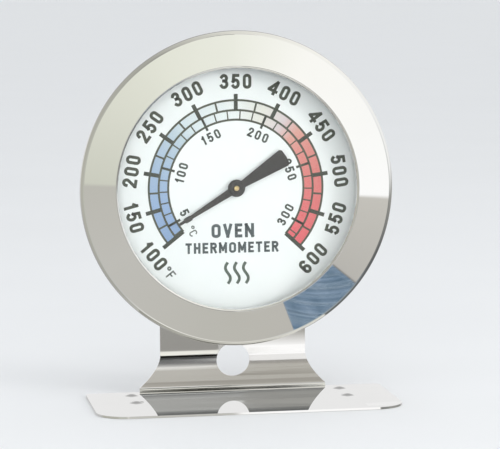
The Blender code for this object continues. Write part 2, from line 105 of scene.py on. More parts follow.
# ---- sizes that the boxes don't give ----
SHEET = 0.0005                # steel strip of the stand, the hook and the bezel
GAP = 0.0003                  # clearance between pieces that touch
RUNNING_GAP = 0.0001          # clearance round what turns
MERGE = 0.000001              # points closer than this are one
STRIP_EASE = 0.00007          # widths of the eased edges
CASE_EASE = 0.00008
BLADE_EASE = 0.00004

BEZEL_LIP = 0.0290
BEZEL_SLOPE = 0.1056
BEZEL_ROLL = 0.0011
BEZEL_CURL = 0.0360           # inner end of the bezel's edge, behind the flange
LIP_BACK = 0.0034

CASE_RADIUS = 0.0354
CASE_WALL = 0.0004
CASE_BEND = 0.0006
WELL_RADIUS = 0.0314
VENT_RADIUS = 0.0022
VENT_CIRCLE = 0.0250
VENT_ANGLES = (-30, 0, 30, 150, 180, 210)
RIVET_HOLE = 0.0016
RIVET_SHANK = 0.0013
RIVET_DOME = 0.0009
RIVET_HOLLOW = 0.00015        # depth of the peened hollow in each head
GLASS_CHAMFER = 0.0002
DIAL_HOLE = 0.0011
DIAL_EDGE = 0.00008           # softened edge of the dial's plate

BASE_CORNER = 0.0072
EAR_CORNER = 0.0016
NECK_WIDTH = 0.0360
FOOT_WIDTH = 0.0462
FLARE_HEIGHT = 0.0080
NECK_BEND_HEIGHT = 0.0080
NECK_BEND_ANGLE = math.radians(6.0)
NECK_BEND_RADIUS = 0.0530     # the neck's shallow bend is a soft one
CREASE_RADIUS = 0.0009
NECK_HOLE_RADIUS = 0.0041
NECK_HOLE_HEIGHT = 0.0077
DIMPLE_X = 0.0257             # two pressed dots near each end of the base
DIMPLE_FROM_CREASE = (0.0045, 0.0145)
DIMPLE_RADIUS = 0.0019
DIMPLE_HEIGHT = 0.0004

HOOK_RISE = 0.0250
HOOK_RADIUS = 0.0045
HOOK_DROP = 0.0120
HOOK_TIP = 0.0030
HOOK_FLARE = math.radians(30.0)
HOOK_CORNER = 0.0030
UPRIGHT_CORNER = 0.0040
FLARE_POWER = 1.7             # how late the neck's flare opens

POINTER_REST = math.radians(-121.5)       # resting reading, clockwise from the dial's top
POINTER_TIP = 0.0164
POINTER_TAIL = 0.0143
POINTER_WAIST = 0.0009
POINTER_DISC = 0.0021
POINTER_TAIL_HALF = 0.0022
POINTER_TIP_HALF = 0.0003
POINTER_TAIL_CORNER = 0.0004
POINTER_TAIL_BULGE = 0.0003
HUB_TUBE = 0.00095            # outside of the hub's tube, which passes through the blade
HUB_EDGE = 0.0002
ARBOR_DOME = 0.00006          # rise of the arbor's rounded end

BAND_INNER = 0.0165           # the three arcs of the scale
BAND_MIDDLE = 0.0188
BAND_OUTER = 0.0212
ARC_LINE = 0.00050
FAHRENHEIT_RADIUS = 0.0257    # middle of the numbers
FAHRENHEIT_HEIGHT = 0.0036
CELSIUS_RADIUS = 0.0138
CELSIUS_HEIGHT = 0.0023
FAHRENHEIT_TICK = 0.00046     # widths of the small divisions
CELSIUS_TICK = 0.00032
FAHRENHEIT_MARK = 0.00096     # widths of the thick marks
CELSIUS_MARK = 0.00058
FAHRENHEIT_MARK_OUT = 0.0015  # how far the thick marks stand out of the band
CELSIUS_MARK_IN = 0.0010
TINT_BACK = 0.000002          # heights of the printed layers above the dial's face
TINT_HEIGHT = 0.000008
LINE_HEIGHT = 0.000016
INK_HEIGHT = 0.000024

UNITS = (                     # letter, height, middle, and the pen and the gap in shares of the height
    ("F", 0.0024, (-0.0165, -0.0202), 0.16, 0.18),
    ("C", 0.0020, (-0.0108, -0.0102), 0.15, 0.15),
)
WORDS = (                     # word, height, middle and width
    ("OVEN", 0.0034, (-0.0009, -0.0103), 0.0104),
    ("THERMOMETER", 0.0026, (-0.0011, -0.0144), 0.0227),
)
WORD_PEN = 0.215
WAVE_PLACES = (-0.0022, 0.0, 0.0022)
WAVE_MIDDLE = -0.0206
WAVE_HEIGHT = 0.0052
WAVE_SWING = 0.0006
WAVE_PEN = 0.0007

ROUND_STEPS = 256
HOLE_STEPS = 64
WAVE_STEPS = 24
DISC_STEPS = 24               # along each side of the blade's round middle
PIN_STEPS = 96
FLARE_STEPS = 20
DIMPLE_STEPS = 12
FINE_STEP = math.radians(7.5)  # step along rounded corners and bends


# ---- shapes ----
def circle(radius, centre=(0.0, 0.0), steps=HOLE_STEPS):
    turns = [2 * math.pi * k / steps for k in range(steps)]
    return [(centre[0] + radius * math.cos(a), centre[1] + radius * math.sin(a)) for a in turns]


def rounded(corners, closed=True):
    """A polyline through corners (x, y) or (x, y, radius), with an arc at each corner with a radius."""
    points = []
    count = len(corners)
    for i, corner in enumerate(corners):
        point = Vector(corner[:2])
        if len(corner) == 2 or (not closed and i in (0, count - 1)):
            points.append(point)
            continue
        radius = corner[2]
        back = (Vector(corners[i - 1][:2]) - point).normalized()
        ahead = (Vector(corners[(i + 1) % count][:2]) - point).normalized()
        half = back.angle(ahead) / 2
        centre = point + (back + ahead).normalized() * radius / math.sin(half)
        start = point + back * radius / math.tan(half) - centre
        end = point + ahead * radius / math.tan(half) - centre
        first = math.atan2(start.y, start.x)
        sweep = math.remainder(math.atan2(end.y, end.x) - first, 2 * math.pi)
        steps = max(2, math.ceil(abs(sweep) / FINE_STEP))
        for k in range(steps + 1):
            angle = first + sweep * k / steps
            points.append(centre + radius * Vector((math.cos(angle), math.sin(angle))))
    return points


def make_piece(name, work, matrix, material, sharp=math.radians(35)):
    """Turn a bmesh into a smooth-shaded object whose edges past the sharp angle stay crisp."""
    bmesh.ops.recalc_face_normals(work, faces=work.faces)
    for face in work.faces:
        face.smooth = True
    for edge in work.edges:
        edge.smooth = len(edge.link_faces) == 2 and edge.calc_face_angle() < sharp
    mesh = bpy.data.meshes.new(name)
    work.to_mesh(mesh)
    work.free()
    mesh.materials.append(material)
    piece = bpy.data.objects.new(name, mesh)
    bpy.context.scene.collection.objects.link(piece)
    piece.matrix_world = matrix
    return piece


def keep_flats_flat(piece):
    """Weight the shading normals by face area, so that flats mirror like flats."""
    weighted = piece.modifiers.new("flat_normals", "WEIGHTED_NORMAL")
    weighted.keep_sharp = True
    weighted.weight = 90
    return piece


def ease_edges(piece, width):
    bevel = piece.modifiers.new("eased_edges", "BEVEL")
    bevel.width = width
    bevel.segments = 2
    bevel.limit_method = "ANGLE"
    bevel.angle_limit = math.radians(50)
    return piece


def lathe(name, profile, material, matrix, steps, closed):
    """Turn (radius, height) points about the local z axis; a point on the axis stays one vertex."""
    work = bmesh.new()
    rings = []
    for radius, height in profile:
        count = steps if radius > 0.0 else 1
        turns = [2 * math.pi * k / steps for k in range(count)]
        rings.append([work.verts.new((radius * math.cos(a), radius * math.sin(a), height)) for a in turns])
    pairs = list(zip(rings, rings[1:]))
    if closed:
        pairs.append((rings[-1], rings[0]))
    for lower, upper in pairs:
        for k in range(steps):
            ahead = (k + 1) % steps
            corners = [lower[k % len(lower)], lower[ahead % len(lower)],
                       upper[ahead % len(upper)], upper[k % len(upper)]]
            corners = list(dict.fromkeys(corners))
            if len(corners) > 2:
                work.faces.new(corners)
    return make_piece(name, work, matrix, material)


def outline_faces(loops, half_thickness):
    """A bmesh of a flat outline with holes, or of a plate when it has a thickness."""
    curve = bpy.data.curves.new("outline", "CURVE")
    curve.dimensions = "2D"
    curve.fill_mode = "BOTH" if half_thickness else "FRONT"
    curve.extrude = half_thickness
    for loop in loops:
        spline = curve.splines.new("POLY")
        spline.points.add(len(loop) - 1)
        for point, (x, y) in zip(spline.points, loop):
            point.co = (x, y, 0.0, 1.0)
        spline.use_cyclic_u = True
    guide = bpy.data.objects.new("outline", curve)
    bpy.context.scene.collection.objects.link(guide)
    depsgraph = bpy.context.evaluated_depsgraph_get()
    mesh = bpy.data.meshes.new_from_object(guide.evaluated_get(depsgraph))
    work = bmesh.new()
    work.from_mesh(mesh)
    bmesh.ops.remove_doubles(work, verts=work.verts, dist=MERGE)
    bpy.data.objects.remove(guide, do_unlink=True)
    bpy.data.curves.remove(curve)
    bpy.data.meshes.remove(mesh)
    return work


def path_stations(segments):
    """Distances along a bent strip where its flat blank gets a cross edge."""
    stations = []
    run = 0.0
    for kind, size, turn in segments:
        if kind == "line":
            run += size
            stations.append(run)
            continue
        length = size * abs(turn)
        steps = max(6, math.ceil(abs(turn) / FINE_STEP))
        stations += [run + length * (k + 1) / steps for k in range(steps)]
        run += length
    return stations


def leftward(heading):
    return Vector((-math.sin(heading), math.cos(heading)))


def path_point(segments, start, heading, distance):
    """The (depth, height) point at a distance along the strip, past its lines and bends."""
    point = Vector(start)
    for kind, size, turn in segments:
        length = size if kind == "line" else size * abs(turn)
        run = min(distance, length)
        if kind == "line":
            point = point + run * Vector((math.cos(heading), math.sin(heading)))
        else:
            side = math.copysign(size, turn)
            centre = point + side * leftward(heading)
            heading += run / side
            point = centre - side * leftward(heading)
        distance -= run
        if distance <= 0.0:
            break
    return point


def bent_strip(name, loops, segments, start, heading, material, cuts=(), lift=None):
    """A flat blank in (x, distance along the strip), bent along its path and given thickness."""
    work = outline_faces(loops, 0.0)
    lines = [((0, station, 0), (0, 1, 0)) for station in path_stations(segments)[:-1]]
    lines += list(cuts)
    for place, direction in lines:
        geometry = work.verts[:] + work.edges[:] + work.faces[:]
        bmesh.ops.bisect_plane(work, geom=geometry, dist=2 * MERGE, plane_co=place, plane_no=direction)
    bmesh.ops.dissolve_degenerate(work, edges=work.edges, dist=4 * MERGE)
    for vert in work.verts:
        along = vert.co.y
        depth, height = path_point(segments, start, heading, along)
        vert.co = (vert.co.x, depth, height + (lift(vert.co.x, along) if lift else 0.0))
    piece = make_piece(name, work, Matrix.Identity(4), material)
    solidify = piece.modifiers.new("sheet", "SOLIDIFY")
    solidify.thickness = SHEET
    solidify.offset = 0.0
    ease_edges(piece, STRIP_EASE)
    return keep_flats_flat(piece)


def sweep_bar(work, points, width, back, front, square_ends=False):
    """Add a flat bar along a line of (x, y) points; a line that ends where it starts is a ring."""
    line = [Vector(point) for point in points]
    ring = (line[0] - line[-1]).length < MERGE / 10
    if ring:
        line.pop()
    elif square_ends:
        line[0] = line[0] + (line[0] - line[1]).normalized() * width / 2
        line[-1] = line[-1] + (line[-1] - line[-2]).normalized() * width / 2
    count = len(line)
    sections = []
    for i, point in enumerate(line):
        before = line[i - 1] if ring or i else point
        after = line[(i + 1) % count] if ring or i < count - 1 else point
        into = (point - before).normalized()
        out = (after - point).normalized()
        along = (into + out).normalized()
        share = max(0.5, along.dot(out if out.length else into))
        side = Vector((-along.y, along.x)) * width / 2 / share
        corners = [(point + side, front), (point - side, front), (point - side, back), (point + side, back)]
        sections.append([work.verts.new((*place, height)) for place, height in corners])
    pairs = list(zip(sections, sections[1:]))
    if ring:
        pairs.append((sections[-1], sections[0]))
    for first, second in pairs:
        for k in range(4):
            ahead = (k + 1) % 4
            work.faces.new([first[k], first[ahead], second[ahead], second[k]])
    if not ring:
        work.faces.new(list(reversed(sections[0])))
        work.faces.new(sections[-1])


def at_angle(angle, radius):
    """A point of the dial at an angle clockwise from its top."""
    return Vector((radius * math.sin(angle), radius * math.cos(angle)))


def fit(piece, body, cad_node):
    """Let a piece ride on a body and stand for its CAD node."""
    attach(piece, body)
    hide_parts(cad_node)


def turned(name, profile, material, body, cad_node, place=DIAL_MATRIX, steps=ROUND_STEPS,
           closed=True):
    """A turned piece that stands for a CAD node."""
    piece = lathe(name, profile, material, place, steps, closed)
    fit(keep_flats_flat(piece), body, cad_node)


# ---- materials ----
NOISE_ROUGHNESS = 0.55
SMUDGE_SCALE = 60.0
EDGE_POINTINESS = (0.52, 0.60)
STEEL_LIGHT = (0.84, 0.835, 0.825)
STEEL_DARK = (0.80, 0.795, 0.785)


def srgb(red, green, blue):
    """Linear colour of a screen colour given in 0 to 255."""
    shares = [value / 255 for value in (red, green, blue)]
    return tuple(s / 12.92 if s < 0.04045 else ((s + 0.055) / 1.055) ** 2.4 for s in shares)


def node(tree, kind, inputs=None, **settings):
    """Add a shader node; inputs are values or sockets, by name or number. Returns its outputs."""
    made = tree.nodes.new("ShaderNode" + kind)
    for key, value in settings.items():
        setattr(made, key, value)
    for key, value in (inputs or {}).items():
        if isinstance(value, bpy.types.NodeSocket):
            tree.links.new(value, made.inputs[key])
        else:
            made.inputs[key].default_value = value
    return made.outputs


def calc(operation, *values):
    """A math node in the tree of the first value that is a socket."""
    tree = next(value.id_data for value in values if isinstance(value, bpy.types.NodeSocket))
    return node(tree, "Math", dict(enumerate(values)), operation=operation)[0]


def total(first, second):
    return calc("ADD", first, second)


def product(first, second):
    return calc("MULTIPLY", first, second)


def diagonal(across, along):
    return calc("SQRT", total(product(across, across), product(along, along)))


def ramp(value, stops):
    """A colour ramp of (position, grey or colour) stops."""
    made = value.id_data.nodes.new("ShaderNodeValToRGB")
    elements = made.color_ramp.elements
    while len(elements) < len(stops):
        elements.new(0.5)
    for element, (position, _) in zip(elements, stops):
        element.position = position
    for element, (_, shade) in zip(elements, stops):
        element.color = (*shade, 1.0) if isinstance(shade, tuple) else (shade, shade, shade, 1.0)
    value.id_data.links.new(value, made.inputs["Fac"])
    return made.outputs["Color"]


def span(value, low, high):
    """Stretch a 0 to 1 value over a range."""
    return node(value.id_data, "MapRange", {"Value": value, "To Min": low, "To Max": high})[0]


def between(value, low, high):
    """0 at low, 1 at high and even between them; high may be the smaller one."""
    return node(value.id_data, "MapRange", {"Value": value, "From Min": low, "From Max": high})[0]


def mix(factor, first, second):
    values = [(*value, 1.0) if isinstance(value, tuple) else value for value in (factor, first, second)]
    return node(factor.id_data, "Mix", dict(zip((0, 6, 7), values)), data_type="RGBA")[2]


def object_point(tree, scale=(1, 1, 1)):
    """The piece's own coordinates, stretched."""
    place = node(tree, "TexCoord")["Object"]
    return node(tree, "Mapping", {"Vector": place, "Scale": scale})[0]


def noise(point, scale, detail=3.0, distortion=0.0):
    inputs = {"Vector": point, "Scale": scale, "Detail": detail, "Roughness": NOISE_ROUGHNESS,
              "Distortion": distortion}
    return node(point.id_data, "TexNoise", inputs)["Fac"]


def bump(height, strength, distance):
    return node(height.id_data, "Bump", {"Height": height, "Strength": strength, "Distance": distance})[0]


def new_material(name, metallic=0.0, **sockets):
    """A material and its node tree; values that are the same all over go on the shader's sockets."""
    material = bpy.data.materials.new(name)
    material.use_nodes = True
    shader = material.node_tree.nodes["Principled BSDF"]
    shader.inputs["Metallic"].default_value = metallic
    for key, value in sockets.items():
        shader.inputs[key.replace("_", " ")].default_value = value
    return material, material.node_tree


def connect(material, **sockets):
    tree = material.node_tree
    for key, socket in sockets.items():
        tree.links.new(socket, tree.nodes["Principled BSDF"].inputs[key.replace("_", " ")])
    return material


def worn_edges(tree):
    """1 along convex edges and 0 elsewhere."""
    return between(node(tree, "NewGeometry")["Pointiness"], *EDGE_POINTINESS)


def metal(name, light, dark, smooth, rough, grain, grain_scale, grain_height):
    """Bare metal: smudges in colour and roughness, fine grain along one direction, rubbed edges."""
    material, tree = new_material(name, metallic=1.0)
    smudges = noise(object_point(tree), SMUDGE_SCALE, detail=4.0)
    scratches = noise(object_point(tree, grain), grain_scale, detail=2.0)
    edges = worn_edges(tree)
    rubbed = tuple(min(1, share * 1.15) for share in light)
    colour = mix(product(edges, 0.5), mix(smudges, dark, light), rubbed)
    uneven = total(span(smudges, smooth, rough), span(scratches, -0.02, 0.02))
    uneven = total(uneven, product(edges, 0.08))
    return connect(material, Base_Color=colour, Roughness=uneven,
                   Normal=bump(scratches, 0.25, grain_height))


def polished_bezel():
    """Buffed steel with faint turning marks round the dial's axis and soft finger smudges."""
    material, tree = new_material("polished_bezel", metallic=1.0)
    point = object_point(tree)
    smudges = noise(point, 45.0, detail=5.0)
    parts = node(tree, "SeparateXYZ", {0: point})
    inputs = {"W": diagonal(parts[0], parts[1]), "Scale": 9000.0, "Detail": 2.0}
    turning = node(tree, "TexNoise", inputs, noise_dimensions="1D")["Fac"]
    colour = mix(smudges, STEEL_DARK, STEEL_LIGHT)
    colour = mix(product(worn_edges(tree), 0.3), colour, (0.93, 0.93, 0.91))
    uneven = total(span(smudges, 0.0, 0.026), span(turning, 0.0, 0.008))
    return connect(material, Base_Color=colour, Roughness=uneven,
                   Normal=bump(turning, 0.04, 0.0000010))


def grainy(name, first, second, scale, rough, relief, detail=3.0, distortion=0.0):
    """A dull material whose colour, roughness and relief follow one noise."""
    material, tree = new_material(name)
    grain = noise(object_point(tree), scale, detail, distortion)
    return connect(material, Base_Color=mix(grain, first, second),
                   Roughness=span(grain, *rough), Normal=bump(grain, *relief))


def enamel():
    """White enamelled dial: a trace of mottling under a soft orange-peel surface."""
    material, tree = new_material("dial_enamel", Coat_Weight=0.15, Coat_Roughness=0.12)
    point = object_point(tree)
    mottling = noise(point, 120.0, detail=4.0)
    peel = noise(point, 2600.0, detail=1.0)
    return connect(material, Base_Color=mix(mottling, (0.86, 0.885, 0.90), (0.91, 0.925, 0.93)),
                   Roughness=span(mottling, 0.34, 0.50), Normal=bump(peel, 0.12, 0.000006))


def ink(name, colour, fade):
    """Printed ink: slightly uneven cover and a dull, grainy surface."""
    thin = tuple(share + (0.5 - share) * fade for share in colour)
    return grainy(name, colour, thin, 1500.0, (0.42, 0.62), (0.10, 0.000004))


def scale_tint():
    """The colours of the scale by angle round the dial: blue, white and red."""
    material, tree = new_material("scale_tint")
    point = object_point(tree)
    parts = node(tree, "SeparateXYZ", {0: point})
    share = between(calc("ARCTAN2", parts[0], parts[1]), -math.pi, math.pi)
    stops = [(0.5 + dial_angle(reading) / (2 * math.pi), srgb(*shade)) for reading, shade in TINTS]
    grain = noise(point, 1800.0, detail=2.0)
    colour = mix(product(grain, 0.10), ramp(share, stops), (0.8, 0.8, 0.8))
    return connect(material, Base_Color=colour, Roughness=span(grain, 0.40, 0.58),
                   Normal=bump(grain, 0.08, 0.000004))


def charcoal():
    """Matt black lacquer on a stamped blade, a little rubbed on its edges."""
    material, tree = new_material("pointer_lacquer")
    point = object_point(tree)
    grain = noise(point, 1400.0, detail=4.0)
    wear = product(worn_edges(tree), noise(point, 700.0))
    colour = mix(grain, srgb(30, 27, 27), srgb(50, 46, 46))
    return connect(material, Base_Color=mix(wear, colour, srgb(88, 82, 76)),
                   Roughness=span(grain, 0.38, 0.62), Normal=bump(grain, 0.25, 0.000008))


def clear_glass():
    """Window glass that lets shadow rays through, with a film of dust in its roughness."""
    material, tree = new_material("clear_glass", Transmission_Weight=1.0, IOR=1.5)
    film = noise(object_point(tree), 220.0, detail=5.0)
    connect(material, Base_Color=mix(film, (0.965, 0.985, 0.975), (0.985, 0.995, 0.99)),
            Roughness=span(film, 0.0, 0.02))
    glass = tree.nodes["Principled BSDF"].outputs[0]
    clear = node(tree, "BsdfTransparent", {"Color": (0.96, 0.975, 0.97, 1.0)})[0]
    shadow = node(tree, "LightPath")["Is Shadow Ray"]
    surface = node(tree, "MixShader", {0: shadow, 1: glass, 2: clear})[0]
    tree.links.new(surface, tree.nodes["Material Output"].inputs["Surface"])
    return material


def fibre():
    return grainy("fibre", (0.62, 0.59, 0.52), (0.82, 0.80, 0.75), 900.0, (0.80, 0.98), (0.6, 0.00004),
                  detail=6.0, distortion=0.6)


def pale_floor():
    material, tree = new_material("pale_floor")
    grain = noise(object_point(tree), 14.0, detail=4.0)
    return connect(material, Base_Color=mix(grain, (0.80, 0.80, 0.795), (0.83, 0.83, 0.825)),
                   Roughness=span(grain, 0.55, 0.7))


# ---- case ----
def make_bezel(material):
    """Polished ring: a curled inner lip, a shallow cone and an outer edge rolled behind the flange."""
    edge = BEZEL_FRONT - BEZEL_SLOPE * (BEZEL_RADIUS - BEZEL_LIP)
    inner = BEZEL_RADIUS - SHEET
    profile = rounded([
        (BEZEL_LIP, LIP_BACK),
        (BEZEL_LIP, BEZEL_FRONT, SHEET),
        (BEZEL_RADIUS, edge, BEZEL_ROLL),
        (BEZEL_RADIUS, BEZEL_BACK, BEZEL_ROLL),
        (BEZEL_CURL, BEZEL_BACK, SHEET / 3),
        (BEZEL_CURL, BEZEL_BACK + SHEET, SHEET / 3),
        (inner, BEZEL_BACK + SHEET, BEZEL_ROLL - SHEET),
        (inner, edge - SHEET, BEZEL_ROLL - SHEET),
        (BEZEL_LIP + SHEET, BEZEL_FRONT - SHEET),
        (BEZEL_LIP + SHEET, LIP_BACK),
    ])
    turned("bezel", profile, material, "housing", "bezel_ring")


def make_glass(material):
    rim = GLASS_RADIUS - GLASS_CHAMFER
    profile = [(0.0, GLASS_FRONT), (rim, GLASS_FRONT), (GLASS_RADIUS, GLASS_FRONT - GLASS_CHAMFER),
               (GLASS_RADIUS, GLASS_BACK + GLASS_CHAMFER), (rim, GLASS_BACK), (0.0, GLASS_BACK)]
    turned("front_glass", profile, material, "housing", "glass_lens", closed=False)


def make_case(material):
    """Drawn cup with a flange, a shoulder, a well, air holes and two holes for the rivets."""
    inside = CASE_RADIUS - CASE_WALL
    well = WELL_RADIUS - CASE_WALL
    shoulder = DIAL_BACK - GAP
    bend = CASE_BEND
    profile = rounded([
        (0.0, CASE_BACK + CASE_WALL), (well, CASE_BACK + CASE_WALL, bend), (well, shoulder, bend / 2),
        (inside, shoulder), (inside, FLANGE_FRONT, bend / 2), (FLANGE_RADIUS, FLANGE_FRONT, CASE_WALL / 3),
        (FLANGE_RADIUS, FLANGE_FRONT - CASE_WALL, CASE_WALL / 3),
        (CASE_RADIUS, FLANGE_FRONT - CASE_WALL, bend / 2), (CASE_RADIUS, shoulder - CASE_WALL, bend / 2),
        (WELL_RADIUS, shoulder - CASE_WALL, bend / 2), (WELL_RADIUS, CASE_BACK, 2 * bend), (0.0, CASE_BACK),
    ], closed=False)
    case = lathe("case_shell", profile, material, DIAL_MATRIX, ROUND_STEPS, closed=False)
    turns = [math.radians(angle) for angle in VENT_ANGLES]
    vents = [(VENT_CIRCLE * math.cos(a), VENT_CIRCLE * math.sin(a), VENT_RADIUS) for a in turns]
    rivets = [(0.0, side * RIVET_OFFSET, RIVET_HOLE) for side in (1, -1)]
    work = bmesh.new()
    for x, y, radius in vents + rivets:
        drill = bmesh.ops.create_cone(work, cap_ends=True, segments=HOLE_STEPS, radius1=radius,
                                      radius2=radius, depth=10 * CASE_WALL)
        bmesh.ops.translate(work, verts=drill["verts"], vec=(x, y, CASE_BACK))
    cutter = make_piece("case_drills", work, DIAL_MATRIX, material)
    cut = case.modifiers.new("holes", "BOOLEAN")
    cut.operation = "DIFFERENCE"
    cut.object = cutter
    depsgraph = bpy.context.evaluated_depsgraph_get()
    drilled = bpy.data.meshes.new_from_object(case.evaluated_get(depsgraph))
    case.modifiers.clear()
    case.data = drilled
    bpy.data.objects.remove(cutter, do_unlink=True)
    ease_edges(case, CASE_EASE)
    keep_flats_flat(case)
    fit(case, "housing", "case_cup")


def make_rivets(material):
    """Domed rivet heads with a small peened hollow, and the shanks between them."""
    seat_front = RIVET_FRONT - RIVET_DOME
    seat_back = RIVET_BACK + RIVET_DOME
    side_drop = RIVET_DOME * 0.25
    crown = RIVET_HEAD * 0.35
    profile = rounded([
        (0.0, RIVET_FRONT - RIVET_HOLLOW), (crown, RIVET_FRONT, 0.0003),
        (RIVET_HEAD, RIVET_FRONT - side_drop, 0.0005), (RIVET_HEAD, seat_front),
        (RIVET_SHANK, seat_front), (RIVET_SHANK, seat_back), (RIVET_HEAD, seat_back),
        (RIVET_HEAD, RIVET_BACK + side_drop, 0.0005), (crown, RIVET_BACK, 0.0003),
        (0.0, RIVET_BACK + RIVET_HOLLOW),
    ], closed=False)
    for name, side in (("rivet_upper", 1), ("rivet_lower", -1)):
        place = DIAL_MATRIX @ Matrix.Translation((0.0, side * RIVET_OFFSET, 0.0))
        turned("peened_" + name, profile, material, "housing", name, place, HOLE_STEPS,
               closed=False)


# ---- dial ----
TINTS = (
    (100, (128, 158, 200)), (150, (138, 166, 206)), (215, (156, 180, 208)), (262, (184, 202, 214)),
    (285, (214, 224, 230)), (350, (232, 236, 236)), (385, (224, 222, 214)), (415, (214, 200, 204)),
    (437, (216, 154, 142)), (462, (216, 130, 122)), (500, (216, 112, 108)), (600, (220, 76, 88)),
)
FAHRENHEIT_RANGE = (100, 600)
FAHRENHEIT_NUMBERS = range(100, 601, 50)
FAHRENHEIT_TICKS = range(125, 600, 50)
CELSIUS_TICKS = range(40, 311, 10)
CELSIUS_NUMBERS = (50, 100, 150, 200, 250, 300)
PRINT_STEP = math.radians(1.5)


def dial_angle(fahrenheit):
    """Angle of a reading in radians clockwise from the dial's top; the scale is slightly uneven."""
    share = (fahrenheit - 350) / 250
    return math.radians(0.3 + 137.1 * share + 2.1 * share ** 2 - 6.4 * share ** 3)


def celsius_angle(celsius):
    return dial_angle(celsius * 9 / 5 + 32)


BAND_ENDS = [dial_angle(reading) for reading in FAHRENHEIT_RANGE]


def dial_arc(radius, start, end):
    steps = math.ceil((end - start) / PRINT_STEP)
    return [at_angle(start + (end - start) * k / steps, radius) for k in range(steps + 1)]


def printed(name, material, draw):
    """A thin printed layer of the dial, drawn into a bmesh by a function."""
    work = bmesh.new()
    draw(work)
    piece = make_piece(name, work, DIAL_MATRIX, material)
    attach(piece, "housing")


def make_dial_face(material):
    rim = DIAL_RADIUS - DIAL_EDGE
    profile = [(DIAL_HOLE, DIAL_BACK), (DIAL_HOLE, -DIAL_EDGE), (DIAL_HOLE + DIAL_EDGE, 0.0),
               (rim, 0.0), (DIAL_RADIUS, -DIAL_EDGE), (DIAL_RADIUS, DIAL_BACK)]
    turned("dial_face", profile, material, "housing", "dial_plate")


def draw_band(work):
    middle = (BAND_INNER + BAND_OUTER) / 2
    width = BAND_OUTER - BAND_INNER
    sweep_bar(work, dial_arc(middle, *BAND_ENDS), width, TINT_BACK, TINT_HEIGHT)


def draw_tick(work, angle, inner, outer, width):
    ends = [at_angle(angle, inner), at_angle(angle, outer)]
    sweep_bar(work, ends, width, TINT_HEIGHT, INK_HEIGHT)


def draw_lines(work):
    """The three arcs and the small divisions of both scales."""
    for radius in (BAND_INNER, BAND_MIDDLE, BAND_OUTER):
        sweep_bar(work, dial_arc(radius, *BAND_ENDS), ARC_LINE, TINT_HEIGHT, LINE_HEIGHT)
    for reading in FAHRENHEIT_TICKS:
        draw_tick(work, dial_angle(reading), BAND_MIDDLE, BAND_OUTER, FAHRENHEIT_TICK)
    for reading in CELSIUS_TICKS:
        draw_tick(work, celsius_angle(reading), BAND_INNER, BAND_MIDDLE, CELSIUS_TICK)


def draw_marks(work):
    """The thick marks that the numbers belong to."""
    for reading in FAHRENHEIT_NUMBERS:
        inner = BAND_INNER if reading in FAHRENHEIT_RANGE else BAND_MIDDLE
        outer = BAND_OUTER + FAHRENHEIT_MARK_OUT
        draw_tick(work, dial_angle(reading), inner, outer, FAHRENHEIT_MARK)
    for reading in CELSIUS_NUMBERS:
        inner = BAND_INNER - CELSIUS_MARK_IN
        draw_tick(work, celsius_angle(reading), inner, BAND_MIDDLE, CELSIUS_MARK)


def arc(u, v, across, up, start, end, steps=10):
    """Points of an elliptic arc, in degrees anticlockwise from the right."""
    turns = [math.radians(start + (end - start) * k / steps) for k in range(steps + 1)]
    return [(u + across * math.cos(a), v + up * math.sin(a)) for a in turns]


def letter_shapes():
    """Width of each character and its pen lines, in shares of the box between the pen's ends."""
    stem = [(0, 0), (0, 1)]
    far_stem = [(1, 0), (1, 1)]
    oval = arc(0.5, 0.79, 0.5, 0.21, 0, 180) + arc(0.5, 0.21, 0.5, 0.21, 180, 360)
    oval.append(oval[0])
    bowl = arc(0.5, 0.27, 0.5, 0.27, -90, 270, 20)
    return {
        "0": (0.58, [oval]),
        "1": (0.44, [[(0.75, 0), (0.75, 1)], [(0.70, 0.96), (0.24, 0.76)]]),
        "2": (0.57, [arc(0.5, 0.76, 0.5, 0.24, 180, -30) + [(0.05, 0.06)], [(0, 0), (1, 0)]]),
        "3": (0.57, [arc(0.46, 0.77, 0.48, 0.23, 155, -90) + [(0.40, 0.54)],
                     arc(0.46, 0.27, 0.54, 0.27, 90, -150, 14)]),
        "4": (0.66, [[(0.76, 0), (0.76, 1)], [(0.70, 1), (-0.06, 0.26)], [(-0.06, 0.23), (1.05, 0.23)]]),
        "5": (0.57, [[(0.92, 1), (0.14, 1), (0.07, 0.52)], arc(0.46, 0.31, 0.54, 0.31, 142, -142, 14)]),
        "6": (0.58, [bowl, [(0, 0.27)] + arc(0.5, 0.74, 0.5, 0.26, 180, 35)]),
        "O": (0.66, [oval]),
        "V": (0.64, [[(0, 1), (0.5, 0)], [(0.5, 0), (1, 1)]]),
        "E": (0.54, [[(1, 1), (0, 1), (0, 0), (1, 0)], [(0, 0.52), (0.85, 0.52)]]),
        "N": (0.66, [stem, far_stem, [(0, 0.98), (1, 0.02)]]),
        "T": (0.58, [[(-0.02, 1), (1.02, 1)], [(0.5, 0), (0.5, 1)]]),
        "H": (0.62, [stem, far_stem, [(0, 0.52), (1, 0.52)]]),
        "R": (0.62, [stem, [(0, 1)] + arc(0.62, 0.76, 0.38, 0.24, 90, -90) + [(0, 0.52)],
                     [(0.55, 0.48), (1, 0)]]),
        "M": (0.76, [stem, far_stem, [(0, 1), (0.5, 0.25)], [(0.5, 0.25), (1, 1)]]),
        "C": (0.60, [arc(0.5, 0.79, 0.5, 0.21, 15, 180) + arc(0.5, 0.21, 0.5, 0.21, 180, 345)]),
        "F": (0.52, [[(1, 1), (0, 1), (0, 0)], [(0, 0.52), (0.8, 0.52)]]),
        "degree": (0.40, [arc(0.5, 0.86, 0.6, 0.16, 0, 360, 16)]),
    }


